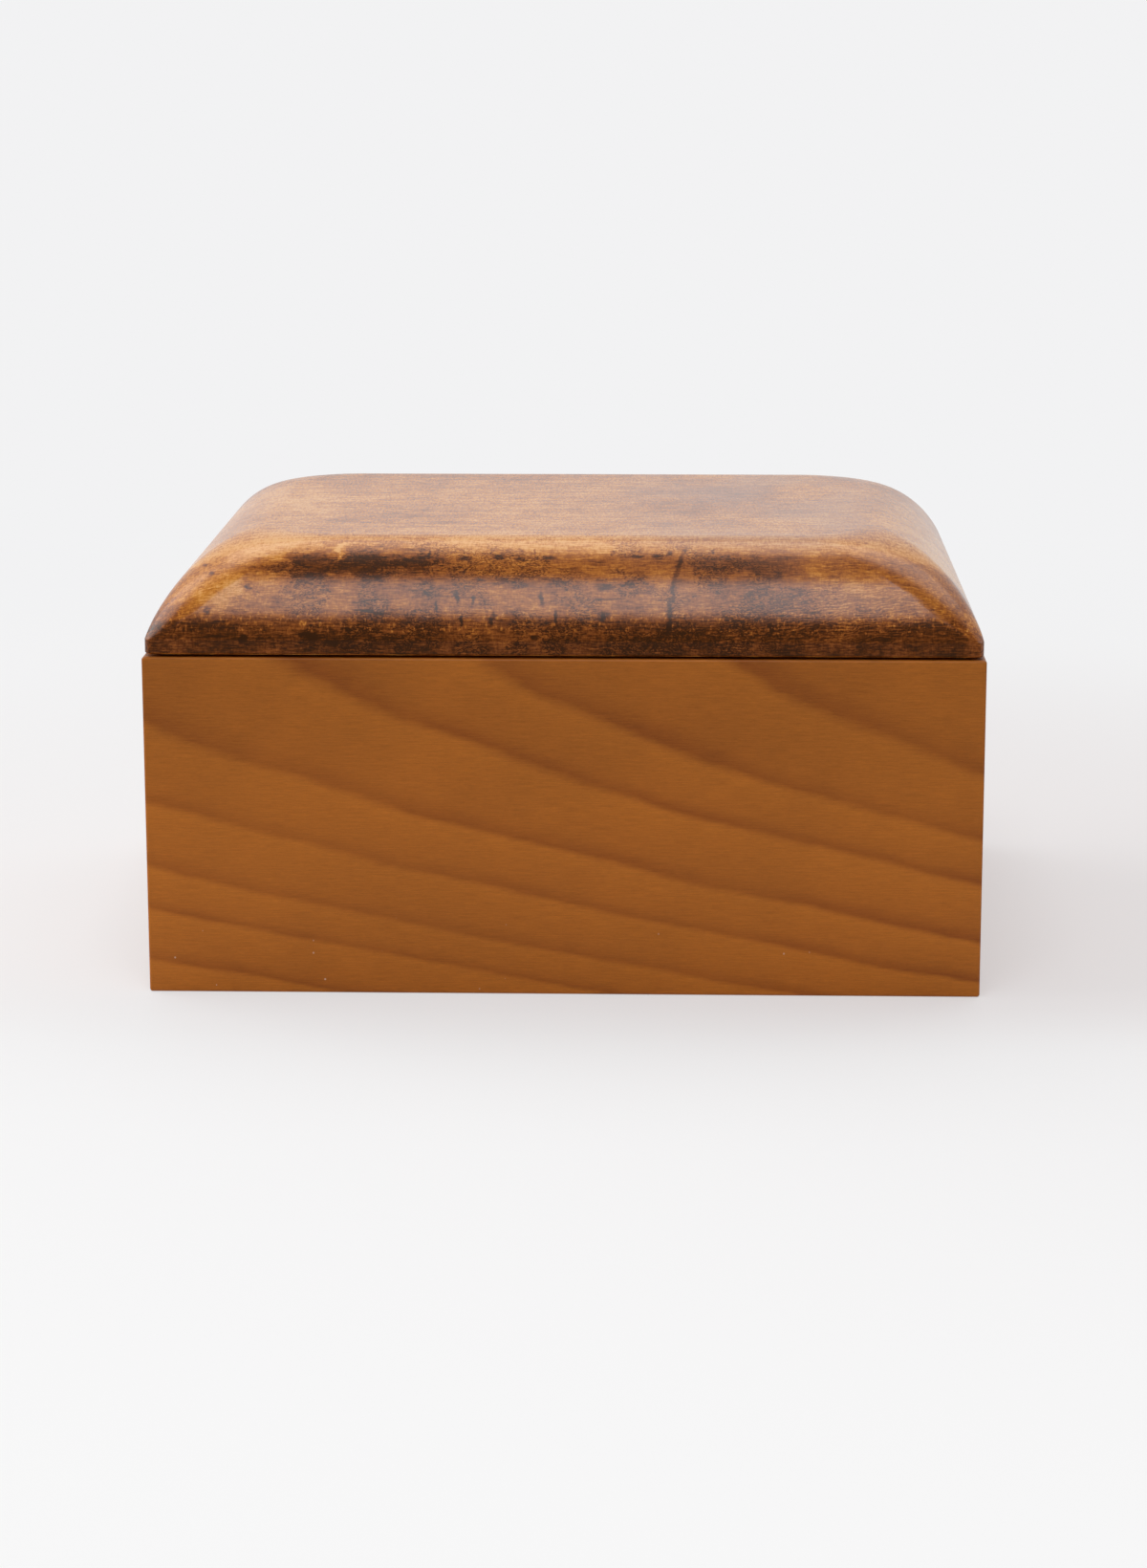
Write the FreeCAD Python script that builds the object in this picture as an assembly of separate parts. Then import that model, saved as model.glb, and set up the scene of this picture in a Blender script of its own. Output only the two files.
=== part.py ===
import FreeCAD, Part
import math
import os

# A small hinged keepsake box of solid wood.
# +X is to the right, +Y to the back, +Z up. The origin is the middle of the
# footprint, on the surface that the box stands on. Lengths are millimetres.

# Body of the box
box_width = 150.0
box_depth = 122.0
body_height = 61.5
wall_thickness = 9.0
edge_ease = 0.5
rim_ease = 0.35

# Bottom panel in its groove
panel_thickness = 4.0
panel_lift = 3.0
groove_depth = 4.0
panel_edge_gap = 0.5
panel_face_gap = 0.1

# Hidden splines across the mitres
spline_width = 7.0
spline_thickness = 2.0
spline_fit = 0.05
spline_foot_land = 4.0
spline_rim_land = 8.0

# Velvet-covered pad on the bottom panel
pad_thickness = 2.5
pad_edge_gap = 0.4
pad_corner_radius = 1.5
pad_edge_round = 0.9

# Lid: an upright band, then a rounded edge that runs in to a flat top
lid_thickness = 18.75
lid_inset = 0.45
lid_band = 2.6
lid_edge_run = 19.5
lid_edge_power = 1.5
lid_foot_corner_radius = 1.5
lid_top_corner_radius = 13.5
lid_corner_growth_power = 0.65
lid_foot_ease = 0.25
lid_edge_steps = 12

# Gap under the lid, held by two dots on its underside
lid_gap = 0.5
bumper_radius = 2.5

# Two butt hinges let into the back edge
hinge_length = 25.0
hinge_from_end = 24.0
hinge_axis_setback = 2.0
leaf_thickness = 1.0
leaf_land = 1.0
knuckle_radius = 1.6
knuckle_count = 5
knuckle_end_gap = 0.1
knuckle_swing_gap = 0.15
pin_radius = 0.75
pin_running_gap = 0.04
pin_head_radius = 1.15
pin_head_thickness = 0.4
mortise_gap = 0.1

# Bevels along the back edge that meet when the lid is fully open
lid_open_angle = 95.0
stop_bevel_spare = 0.5

# Countersunk hinge screws, two to a leaf
screw_spacing = 14.0
screw_length = 8.0
screw_shank_radius = 0.9
screw_head_radius = 1.6
screw_head_rim = 0.1
screw_tip_length = 1.6
screw_slot_width = 0.5
screw_slot_depth = 0.35
screw_fit = 0.03

# Places worked out from the sizes
half_width = box_width / 2
half_depth = box_depth / 2
room_half_width = half_width - wall_thickness
room_half_depth = half_depth - wall_thickness
panel_top = panel_lift + panel_thickness
groove_top = panel_top + panel_face_gap
lid_foot = body_height + lid_gap
hinge_y = half_depth - hinge_axis_setback
hinge_z = body_height + lid_gap / 2
leaf_width = wall_thickness - hinge_axis_setback - leaf_land
screw_y = hinge_y - (knuckle_radius + leaf_width) / 2
hinge_mid_x = half_width - hinge_from_end - hinge_length / 2
hinge_sides = {"left": -hinge_mid_x, "right": hinge_mid_x}
corner_sides = {
    "front_left": (-1, -1),
    "front_right": (1, -1),
    "back_left": (-1, 1),
    "back_right": (1, 1),
}

# How far a cutting shape runs past the wood that it cuts
overrun = 1.0

along_x = FreeCAD.Vector(1, 0, 0)
upward = FreeCAD.Vector(0, 0, 1)
downward = FreeCAD.Vector(0, 0, -1)


def block(x_span, y_span, z_span):
    """Rectangular block between two values along each axis."""
    size_x = x_span[1] - x_span[0]
    size_y = y_span[1] - y_span[0]
    size_z = z_span[1] - z_span[0]
    corner = FreeCAD.Vector(x_span[0], y_span[0], z_span[0])
    return Part.makeBox(size_x, size_y, size_z, corner)


def centred_block(half_x, half_y, z_span):
    """Block centred on the box's upright middle line."""
    return block((-half_x, half_x), (-half_y, half_y), z_span)


def prism(points, direction):
    """Solid swept straight from a flat polygon."""
    polygon = Part.makePolygon(points + [points[0]])
    return Part.Face(polygon).extrude(direction)


def hinge_rod(radius, x_span):
    """Round rod on the hinge's axis."""
    start = FreeCAD.Vector(x_span[0], hinge_y, hinge_z)
    return Part.makeCylinder(radius, x_span[1] - x_span[0], start, along_x)


def hinge_span(middle_x, extra=0.0):
    """Start and end of a hinge along X, with extra room at both ends."""
    reach = hinge_length / 2 + extra
    return (middle_x - reach, middle_x + reach)


def screw_places(middle_x):
    """X of each screw in one leaf."""
    return (middle_x - screw_spacing / 2, middle_x + screw_spacing / 2)


def is_inner_rim(edge):
    """True for the four straight edges round the mouth of the box."""
    bounds = edge.BoundBox
    level = bounds.ZLength < 1e-6 and abs(bounds.ZMax - body_height) < 1e-6
    inside_x = abs(bounds.Center.x) <= room_half_width + 1e-6
    inside_y = abs(bounds.Center.y) <= room_half_depth + 1e-6
    return level and inside_x and inside_y


def wall_ring():
    """The four walls as one ring with eased edges, before the mitres part them."""
    outside = centred_block(half_width, half_depth, (0, body_height))
    outside = outside.makeFillet(edge_ease, outside.Edges)
    room_z = (-overrun, body_height + overrun)
    ring = outside.cut(centred_block(room_half_width, room_half_depth, room_z))
    mouth = [edge for edge in ring.Edges if is_inner_rim(edge)]
    return ring.makeFillet(rim_ease, mouth)


def mitre_prism(side):
    """Prism that holds one wall of the ring, its ends cut at 45 degrees."""
    out_x = half_width + overrun
    out_y = half_depth + overrun
    in_x = room_half_width - overrun
    in_y = room_half_depth - overrun
    outlines = {
        "front": ((-out_x, -out_y), (out_x, -out_y), (in_x, -in_y), (-in_x, -in_y)),
        "back": ((out_x, out_y), (-out_x, out_y), (-in_x, in_y), (in_x, in_y)),
        "left": ((-out_x, out_y), (-out_x, -out_y), (-in_x, -in_y), (-in_x, in_y)),
        "right": ((out_x, -out_y), (out_x, out_y), (in_x, in_y), (in_x, -in_y)),
    }
    foot = [FreeCAD.Vector(x, y, -overrun) for x, y in outlines[side]]
    return prism(foot, upward * (body_height + 2 * overrun))


def spline(corner, fit):
    """Tongue set square across one mitre, grown by fit on every face."""
    side_x, side_y = corner_sides[corner]
    half_tongue = spline_width / 2 + fit
    half_thick = spline_thickness / 2 + fit
    foot = groove_top + spline_foot_land - fit
    head = body_height - spline_rim_land + fit
    tongue = centred_block(half_tongue, half_thick, (foot, head))
    turn = -45.0 * side_x * side_y
    tongue.rotate(FreeCAD.Vector(0, 0, 0), upward, turn)
    centre_x = side_x * (half_width - wall_thickness / 2)
    centre_y = side_y * (half_depth - wall_thickness / 2)
    tongue.translate(FreeCAD.Vector(centre_x, centre_y, 0))
    return tongue


def panel_groove():
    """Space that the bottom panel's edge needs inside the walls."""
    half_x = room_half_width + groove_depth
    half_y = room_half_depth + groove_depth
    return centred_block(half_x, half_y, (panel_lift, groove_top))


def stop_notch():
    """V along the back edge, so that body and lid meet on their bevels when open."""
    half_angle = math.radians((lid_open_angle + stop_bevel_spare) / 2)
    reach = hinge_axis_setback + overrun
    rise = reach * math.tan(half_angle)
    start_x = -half_width - overrun
    point = FreeCAD.Vector(start_x, hinge_y, hinge_z)
    lower = point + FreeCAD.Vector(0, reach, -rise)
    upper = point + FreeCAD.Vector(0, reach, rise)
    return prism([point, lower, upper], along_x * (box_width + 2 * overrun))


def leaf_z_span(in_lid):
    """Lowest and highest level of a leaf's plate."""
    if in_lid:
        return (lid_foot, lid_foot + leaf_thickness)
    return (body_height - leaf_thickness, body_height)


def leaf_mortise(middle_x, in_lid):
    """Pocket for one leaf, with the round groove that its barrel lies in."""
    pocket_x = hinge_span(middle_x, mortise_gap)
    pocket_y = (hinge_y - leaf_width - mortise_gap, hinge_y)
    low, high = leaf_z_span(in_lid)
    if in_lid:
        low = low - lid_gap / 2
    else:
        high = high + lid_gap / 2
    pocket = block(pocket_x, pocket_y, (low, high))
    groove_x = hinge_span(middle_x, pin_head_thickness + mortise_gap)
    groove = hinge_rod(knuckle_radius + knuckle_swing_gap, groove_x)
    return pocket.fuse(groove)


def screw_body(x, in_lid, fit):
    """Countersunk screw on its own axis, grown by fit, head level with the leaf."""
    drive = upward if in_lid else downward
    head_z = lid_foot if in_lid else body_height
    shank_radius = screw_shank_radius + fit
    head_radius = screw_head_radius + fit
    cone_depth = screw_head_radius - screw_shank_radius
    top = FreeCAD.Vector(x, screw_y, head_z)
    neck = top + drive * screw_head_rim
    tip = top + drive * (screw_length - screw_tip_length)
    head = Part.makeCylinder(head_radius, screw_head_rim, top, drive)
    cone = Part.makeCone(head_radius, shank_radius, cone_depth, neck, drive)
    shank_length = screw_length - screw_tip_length
    shank = Part.makeCylinder(shank_radius, shank_length, top, drive)
    point = Part.makeCone(shank_radius, screw_slot_width / 2, screw_tip_length + fit, tip, drive)
    return head.multiFuse([cone, shank, point]).removeSplitter()


def screw(x, in_lid):
    """One slotted countersunk wood screw."""
    head_z = lid_foot if in_lid else body_height
    slot_z = (head_z, head_z + screw_slot_depth)
    if not in_lid:
        slot_z = (head_z - screw_slot_depth, head_z)
    half_slot = screw_slot_width / 2
    slot_y = (screw_y - screw_head_radius - overrun, screw_y + screw_head_radius + overrun)
    slot = block((x - half_slot, x + half_slot), slot_y, slot_z)
    return screw_body(x, in_lid, 0.0).cut(slot)


def knuckle_spans(middle_x, in_lid, extra=0.0):
    """X range of each barrel part of one leaf: the two leaves take turns."""
    pitch = hinge_length / knuckle_count
    first = 1 if in_lid else 0
    start = middle_x - hinge_length / 2
    trim = knuckle_end_gap / 2 - extra
    spans = []
    for number in range(first, knuckle_count, 2):
        low = start + number * pitch
        high = low + pitch
        if number > 0:
            low = low + trim
        if number < knuckle_count - 1:
            high = high - trim
        spans.append((low, high))
    return spans


def hinge_leaf(middle_x, in_lid):
    """One leaf: plate and barrel parts, bored for the pin and drilled for screws."""
    plate_y = (hinge_y - leaf_width, hinge_y)
    leaf = block(hinge_span(middle_x), plate_y, leaf_z_span(in_lid))
    swing_radius = knuckle_radius + knuckle_swing_gap
    for span in knuckle_spans(middle_x, not in_lid, knuckle_end_gap):
        leaf = leaf.cut(hinge_rod(swing_radius, span))
    barrels = [hinge_rod(knuckle_radius, span) for span in knuckle_spans(middle_x, in_lid)]
    leaf = leaf.multiFuse(barrels)
    leaf = leaf.cut(hinge_rod(pin_radius + pin_running_gap, hinge_span(middle_x, overrun)))
    for x in screw_places(middle_x):
        leaf = leaf.cut(screw_body(x, in_lid, screw_fit))
    return leaf.removeSplitter()


def hinge_pin(middle_x):
    """Pin through all barrel parts, with a small head at each end."""
    rod_x = hinge_span(middle_x, pin_head_thickness)
    low_head = hinge_rod(pin_head_radius, (rod_x[0], rod_x[0] + pin_head_thickness))
    high_head = hinge_rod(pin_head_radius, (rod_x[1] - pin_head_thickness, rod_x[1]))
    rod = hinge_rod(pin_radius, rod_x)
    return rod.multiFuse([low_head, high_head]).removeSplitter()


def hinge_cuts(in_lid):
    """Everything that the two hinges take out of the wood that carries them."""
    cuts = []
    for middle_x in hinge_sides.values():
        cuts.append(leaf_mortise(middle_x, in_lid))
        for x in screw_places(middle_x):
            cuts.append(screw_body(x, in_lid, screw_fit))
    return cuts


def wall(side):
    """One wall of the body, with its groove, spline slots and back-edge cuts."""
    piece = wall_ring().common(mitre_prism(side))
    cuts = [panel_groove(), stop_notch()]
    for corner in corner_sides:
        if side in corner:
            cuts.append(spline(corner, spline_fit))
    if side == "back":
        cuts.extend(hinge_cuts(in_lid=False))
    for cut in cuts:
        piece = piece.cut(cut)
    return piece


def bottom_panel():
    """Panel that lies on the groove's lower face, with room to swell at its edges."""
    half_x = room_half_width + groove_depth - panel_edge_gap
    half_y = room_half_depth + groove_depth - panel_edge_gap
    return centred_block(half_x, half_y, (panel_lift, panel_top))


def lining_pad():
    """Thin pad on the bottom panel, clear of the walls, with soft edges."""
    half_x = room_half_width - pad_edge_gap
    half_y = room_half_depth - pad_edge_gap
    pad_top = panel_top + pad_thickness
    outline = rounded_outline(half_x, half_y, pad_corner_radius, panel_top)
    pad = Part.Face(outline).extrude(upward * pad_thickness)
    rim = [edge for edge in pad.Edges if edge.BoundBox.ZMin > pad_top - 1e-6]
    return pad.makeFillet(pad_edge_round, rim)


def rounded_outline(half_x, half_y, radius, z):
    """Level rectangle with round corners, as one closed wire."""
    core_x = half_x - radius
    core_y = half_y - radius
    diagonal = radius * math.sqrt(0.5)
    edges = []
    for side_x, side_y in ((1, -1), (1, 1), (-1, 1), (-1, -1)):
        centre = FreeCAD.Vector(side_x * core_x, side_y * core_y, z)
        out_x = centre + FreeCAD.Vector(side_x * radius, 0, 0)
        out_y = centre + FreeCAD.Vector(0, side_y * radius, 0)
        middle = centre + FreeCAD.Vector(side_x * diagonal, side_y * diagonal, 0)
        ends = (out_y, out_x) if side_x * side_y < 0 else (out_x, out_y)
        edges.append((ends[0], middle, ends[1]))
    pieces = []
    for number, (start, middle, end) in enumerate(edges):
        next_start = edges[(number + 1) % len(edges)][0]
        pieces.append(Part.Arc(start, middle, end).toShape())
        pieces.append(Part.LineSegment(end, next_start).toShape())
    return Part.Wire(pieces)


def lid_outline(inset, corner_radius, rise):
    """The lid's plan at one height above its foot."""
    half_x = half_width - lid_inset - inset
    half_y = half_depth - lid_inset - inset
    return rounded_outline(half_x, half_y, corner_radius, lid_foot + rise)


def lid_edge_section(share):
    """Plan of the rounded edge, from the band's top at 0 to the flat top at 1."""
    angle = math.radians(90.0 * share)
    inset = lid_edge_run * (1.0 - math.cos(angle))
    rise = lid_band + (lid_thickness - lid_band) * math.sin(angle) ** lid_edge_power
    height_share = (rise - lid_band) / (lid_thickness - lid_band)
    growth = lid_top_corner_radius - lid_foot_corner_radius
    radius = lid_foot_corner_radius + growth * height_share ** lid_corner_growth_power
    return lid_outline(inset, radius, rise)


def lid_block():
    """Thick one-piece lid: eased foot, upright band, rounded edge and flat top."""
    foot_radius = lid_foot_corner_radius
    foot = lid_outline(lid_foot_ease, foot_radius - lid_foot_ease, 0.0)
    band_low = lid_outline(0.0, foot_radius, lid_foot_ease)
    band_high = lid_outline(0.0, foot_radius, lid_band)
    ease = Part.makeLoft([foot, band_low], True, True)
    band = Part.makeLoft([band_low, band_high], True, True)
    shares = [step / lid_edge_steps for step in range(lid_edge_steps + 1)]
    edge = Part.makeLoft([lid_edge_section(share) for share in shares], True, False)
    block_of_wood = edge.multiFuse([band, ease])
    block_of_wood = block_of_wood.cut(stop_notch())
    for cut in hinge_cuts(in_lid=True):
        block_of_wood = block_of_wood.cut(cut)
    return block_of_wood


def lid_bumpers():
    """Two thin dots under the lid's front corners, resting on the rim."""
    dots = []
    for side_x in (-1, 1):
        centre_x = side_x * (half_width - wall_thickness / 2)
        centre_y = -(half_depth - wall_thickness / 2)
        place = FreeCAD.Vector(centre_x, centre_y, body_height)
        dots.append(Part.makeCylinder(bumper_radius, lid_gap, place, upward))
    return Part.makeCompound(dots)


def hinge_screws(middle_x, in_lid):
    """The screws of one leaf."""
    return Part.makeCompound([screw(x, in_lid) for x in screw_places(middle_x)])


def all_pieces():
    """Every piece of the box under its own name."""
    pieces = {}
    for side in ("front", "back", "left", "right"):
        pieces[side + "_wall"] = wall(side)
    for corner in corner_sides:
        pieces[corner + "_spline"] = spline(corner, 0.0)
    pieces["bottom_panel"] = bottom_panel()
    pieces["lining_pad"] = lining_pad()
    pieces["lid_block"] = lid_block()
    pieces["lid_bumpers"] = lid_bumpers()
    for side, middle_x in hinge_sides.items():
        pieces[side + "_hinge_body_leaf"] = hinge_leaf(middle_x, in_lid=False)
        pieces[side + "_hinge_lid_leaf"] = hinge_leaf(middle_x, in_lid=True)
        pieces[side + "_hinge_pin"] = hinge_pin(middle_x)
        pieces[side + "_hinge_body_screws"] = hinge_screws(middle_x, in_lid=False)
        pieces[side + "_hinge_lid_screws"] = hinge_screws(middle_x, in_lid=True)
    return pieces


def save(name, shape):
    """Write one piece, and stop if it isn't a sound solid."""
    if not shape.isValid() or not shape.Solids:
        raise ValueError(name + " is not a sound solid")
    shape.exportStep("parts/" + name + ".step")
    print(name, len(shape.Solids), "solids", round(shape.Volume, 2), "mm3")


os.makedirs("parts", exist_ok=True)
for piece_name, piece_shape in all_pieces().items():
    save(piece_name, piece_shape)
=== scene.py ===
import math

import bmesh
import bpy
from mathutils import Matrix, Vector, noise


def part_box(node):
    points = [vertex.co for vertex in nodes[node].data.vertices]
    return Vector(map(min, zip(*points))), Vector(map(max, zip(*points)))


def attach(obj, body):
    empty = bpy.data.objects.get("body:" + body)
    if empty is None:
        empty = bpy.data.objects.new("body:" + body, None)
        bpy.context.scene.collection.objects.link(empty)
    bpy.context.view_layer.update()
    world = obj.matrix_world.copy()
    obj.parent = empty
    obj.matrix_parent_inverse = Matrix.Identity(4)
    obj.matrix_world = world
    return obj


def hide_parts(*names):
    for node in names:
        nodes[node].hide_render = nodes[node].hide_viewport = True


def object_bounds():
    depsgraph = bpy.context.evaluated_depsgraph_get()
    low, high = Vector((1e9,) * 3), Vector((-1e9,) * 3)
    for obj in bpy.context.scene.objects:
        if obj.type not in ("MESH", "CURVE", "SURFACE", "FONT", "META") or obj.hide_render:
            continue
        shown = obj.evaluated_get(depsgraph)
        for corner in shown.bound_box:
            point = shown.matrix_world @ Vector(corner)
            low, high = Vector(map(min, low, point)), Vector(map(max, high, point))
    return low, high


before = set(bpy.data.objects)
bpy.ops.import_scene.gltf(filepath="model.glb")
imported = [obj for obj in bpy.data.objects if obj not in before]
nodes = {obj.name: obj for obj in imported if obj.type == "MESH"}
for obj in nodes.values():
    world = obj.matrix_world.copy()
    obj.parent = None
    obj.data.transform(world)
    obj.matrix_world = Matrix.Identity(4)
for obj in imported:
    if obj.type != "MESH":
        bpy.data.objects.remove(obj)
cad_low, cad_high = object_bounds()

MM = 0.001

# Camera, fitted to the photograph
CAMERA_PLACE = Vector((0.0226, -0.7119, 0.1814))
CAMERA_PITCH = 0.2154
CAMERA_YAW = -0.0318
CAMERA_ROLL = -0.0012
CAMERA_LENS = 85.8
SENSOR_LONG_SIDE = 36.0

# The pale surroundings, as linear brightness
BACKGROUND_TONE = (0.888, 0.888, 0.896, 1.0)
FLOOR_TONE = (0.84, 0.83, 0.82, 1.0)
FRONT_FLOOR_TONE = (0.94, 0.94, 0.94, 1.0)
BACKDROP_FILL = 0.3
BACKDROP_GLOSS = 0.88
ROOM_FILL = 0.33
ROOM_GLOSS = 0.1

# Angles over the back horizon, in degrees, between which the backdrop gives way to the room
BACKDROP_END = (64.0, 90.0)

# Share of sideways in a direction, between which the backdrop ends at its sides
BACKDROP_SIDE = (0.7, 0.95)

# Floor, in metres: its half size, and the distances from the box over which plain background
# takes over from the lit floor, starting at a share that keeps the shadow pale
FLOOR_REACH = 3.0
FLOOR_FADE = (0.1, 0.5)
FLOOR_PALENESS = 0.56

# Where the floor is painted paler towards the camera, and where that ends far from the box
FLOOR_FORWARD = (-0.35, 0.1)
FLOOR_FORWARD_END = (0.5, 1.6)

# Where the pale floor ends in front of the box, as mirrored rays see it
FLOOR_FRONT = (-0.26, -0.14)

# Broad soft painted shade on the floor round the box: its strength on the left and on the right, its
# share in front, the distances and places over which these change, and its warm tone, painted for light
# bounced off the wood
FLOOR_SHADE = (0.07, 0.19)
FLOOR_SHADE_FRONT = 0.15
FLOOR_SHADE_REACH = (0.12, 0.34)
FLOOR_SHADE_ACROSS = (-0.05, 0.1)
FLOOR_SHADE_ALONG = (-0.1, -0.06)
FLOOR_SHADE_TONE = (0.3, 0.1, 0.07, 1.0)

# Soft lamps: name, place, aim and size in metres, power in watts, colour
WHITE = (1.0, 1.0, 1.0)
LAMPS = (
    ("side_softbox", (-1.2, 0.3, 0.75), (0.0, 0.0, 0.03), (1.6, 1.2), 11.5, WHITE),
    ("top_softbox", (0.1, 0.5, 0.8), (0.0, 0.0, 0.07), (1.1, 0.45), 2.2, WHITE),
    ("front_softbox", (-0.02, -0.415, 0.845), (0.0, 0.0, 0.06), (0.38, 0.46), 3.3, (0.92, 0.945, 1.0)),
)

lid_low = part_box("lid_block")[0]
half_width_mm = cad_high.x / MM
half_depth_mm = cad_high.y / MM
lid_foot_mm = lid_low.z / MM
lid_front_mm = lid_low.y / MM

# The values that noise mostly lies between
NOISE_SPAN = (0.3, 0.7)


class Graph:
    """Short ways to make and join the nodes of one node tree."""

    def __init__(self, tree):
        self.tree = tree

    def feed(self, socket, value):
        if isinstance(value, bpy.types.NodeSocket):
            self.tree.links.new(value, socket)
        else:
            socket.default_value = value

    def node(self, kind, inputs=None, **settings):
        made = self.tree.nodes.new(kind)
        for name, value in settings.items():
            setattr(made, name, value)
        for name, value in (inputs or {}).items():
            self.feed(made.inputs[name], value)
        return made

    def maths(self, operation, *values):
        made = self.node("ShaderNodeMath", operation=operation)
        for number, value in enumerate(values):
            self.feed(made.inputs[number], value)
        return made.outputs[0]

    def add(self, *values):
        total = values[0]
        for value in values[1:]:
            total = self.maths("ADD", total, value)
        return total

    def times(self, *values):
        total = values[0]
        for value in values[1:]:
            total = self.maths("MULTIPLY", total, value)
        return total

    def less(self, first, second):
        return self.maths("SUBTRACT", first, second)

    def step(self, value, low, high, to_low=0.0, to_high=1.0):
        """Smooth climb from to_low to to_high while value goes from low to high."""
        inputs = {
            "Value": value,
            "From Min": low,
            "From Max": high,
            "To Min": to_low,
            "To Max": to_high,
        }
        return self.node("ShaderNodeMapRange", inputs, interpolation_type="SMOOTHSTEP").outputs[0]

    def swing(self, value, to_low=0.0, to_high=1.0):
        """Noise read as a smooth change from to_low to to_high."""
        return self.step(value, *NOISE_SPAN, to_low, to_high)

    def split(self, vector):
        made = self.node("ShaderNodeSeparateXYZ", {"Vector": vector})
        return made.outputs[0], made.outputs[1], made.outputs[2]

    def join(self, x, y, z):
        return self.node("ShaderNodeCombineXYZ", {"X": x, "Y": y, "Z": z}).outputs[0]

    def scaled(self, vector, scale, offset=(0.0, 0.0, 0.0)):
        inputs = {"Vector": vector, "Scale": scale, "Location": offset}
        return self.node("ShaderNodeMapping", inputs).outputs[0]

    def noise(self, vector, scale, detail=2.0, roughness=0.5, distortion=0.0, colour=False):
        inputs = {
            "Vector": vector,
            "Scale": scale,
            "Detail": detail,
            "Roughness": roughness,
            "Distortion": distortion,
        }
        made = self.node("ShaderNodeTexNoise", inputs)
        return made.outputs["Color" if colour else "Fac"]

    def grain(self, vector, stretch, scale, offset=(0.0, 0.0, 0.0), **settings):
        """Noise that is packed closer along each axis by its stretch."""
        return self.noise(self.scaled(vector, stretch, offset), scale, **settings)

    def mix(self, factor, first, second, blend="MIX"):
        made = self.node("ShaderNodeMix", data_type="RGBA", blend_type=blend)
        self.feed(made.inputs[0], factor)
        self.feed(made.inputs[6], first)
        self.feed(made.inputs[7], second)
        return made.outputs[2]

    def ramp(self, value, stops):
        """Colour or grey band through (place, value) stops."""
        made = self.node("ShaderNodeValToRGB", {"Fac": value})
        band = made.color_ramp
        while len(band.elements) < len(stops):
            band.elements.new(1.0)
        for element, (place, tone) in zip(band.elements, stops):
            element.position = place
            element.color = tone if len(tone) == 4 else (*tone, 1.0)
        return made.outputs["Color"]

    def spot(self, place, centre, reach, turn=0.0, core=0.35):
        """Soft-edged patch: 1 out to the core's share of its half sizes, 0 outside them."""
        depth = max(LID_FIGURE_DEPTH, 3.0 * reach[1])
        inputs = {
            "Vector": place,
            "Location": (centre[0], centre[1], 0.0),
            "Rotation": (0.0, 0.0, math.radians(turn)),
            "Scale": (reach[0], reach[1], depth),
        }
        local = self.node("ShaderNodeMapping", inputs, vector_type="TEXTURE").outputs[0]
        near = self.node("ShaderNodeTexGradient", {"Vector": local}, gradient_type="SPHERICAL")
        return self.step(near.outputs["Fac"], 0.0, 1.0 - core)

    def bump(self, height, distance, strength):
        inputs = {"Height": height, "Distance": distance, "Strength": strength}
        return self.node("ShaderNodeBump", inputs).outputs[0]

    def dimmed(self, tone, share):
        """Colour times a share of brightness."""
        return self.mix(1.0, tone, self.join(share, share, share), blend="MULTIPLY")

    def mirrored_rays(self, path):
        """1 for rays that come off or through something glossy."""
        return self.maths("MAXIMUM", path.outputs["Is Glossy Ray"], path.outputs["Is Transmission Ray"])


def grey(value):
    return (value, value, value, 1.0)


def srgb(red, green, blue):
    """Linear colour from the 0 to 255 values that a screen shows."""
    tones = []
    for value in (red, green, blue):
        share = value / 255.0
        tones.append(share / 12.92 if share <= 0.04045 else ((share + 0.055) / 1.055) ** 2.4)
    return (*tones, 1.0)


def new_material(name):
    """Empty principled material: its graph and its shader node."""
    material = bpy.data.materials.new(name)
    material.use_nodes = True
    graph = Graph(material.node_tree)
    shader = material.node_tree.nodes["Principled BSDF"]
    return material, graph, shader


def millimetres(graph):
    """Place on the object in millimetres, the same at every pose."""
    place = graph.node("ShaderNodeTexCoord").outputs["Object"]
    return graph.scaled(place, (1.0 / MM, 1.0 / MM, 1.0 / MM))


# Body wood: growth rings as levels of a gently bent field that runs on round the corners

RING_LEVELS = (
    -68.0,
    -55.0,
    -43.0,
    -31.0,
    -18.4,
    -5.9,
    3.3,
    15.7,
    26.5,
    39.4,
    48.6,
    60.0,
    71.0,
    83.0,
    94.0,
    106.0,
    117.0,
    129.0,
    140.0,
    152.0,
    163.0,
)
RING_SLOPE = 0.262
RING_BEND = 0.00926
RING_BEND_HEIGHT = 30.0
RING_WANDER = 3.2
RING_RAGGED = 1.1
RING_INWARD = 0.15

# Darkness across one ring: where its sharp dark line is over, its middle as place and darkness,
# and how far before the next line it has run out
RING_LINE = 0.004
RING_MIDDLE = (0.28, 0.45)
RING_OUT = 0.008

# Rings of the hidden wood, in millimetres and in rings
PLAIN_RING_WIDTH = 9.0
PLAIN_RING_DRIFT = 3.0

BODY_TONES = (srgb(177, 102, 29), srgb(164, 92, 25), srgb(138, 71, 16))
PANEL_TONES = (srgb(196, 146, 92), srgb(184, 132, 80), srgb(158, 106, 60))
SPLINE_TONES = (srgb(202, 156, 104), srgb(192, 144, 94), srgb(170, 120, 74))
LINT_TONE = srgb(214, 186, 160)

# Painted light and shade: the walls are a little brighter at the foot, for light off the floor, and
# darker towards the rim: heights in millimetres, brightness at each
WALL_PAINTED_LIGHT_AND_SHADE = (30.0, 61.0, 1.03, 0.89)


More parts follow.
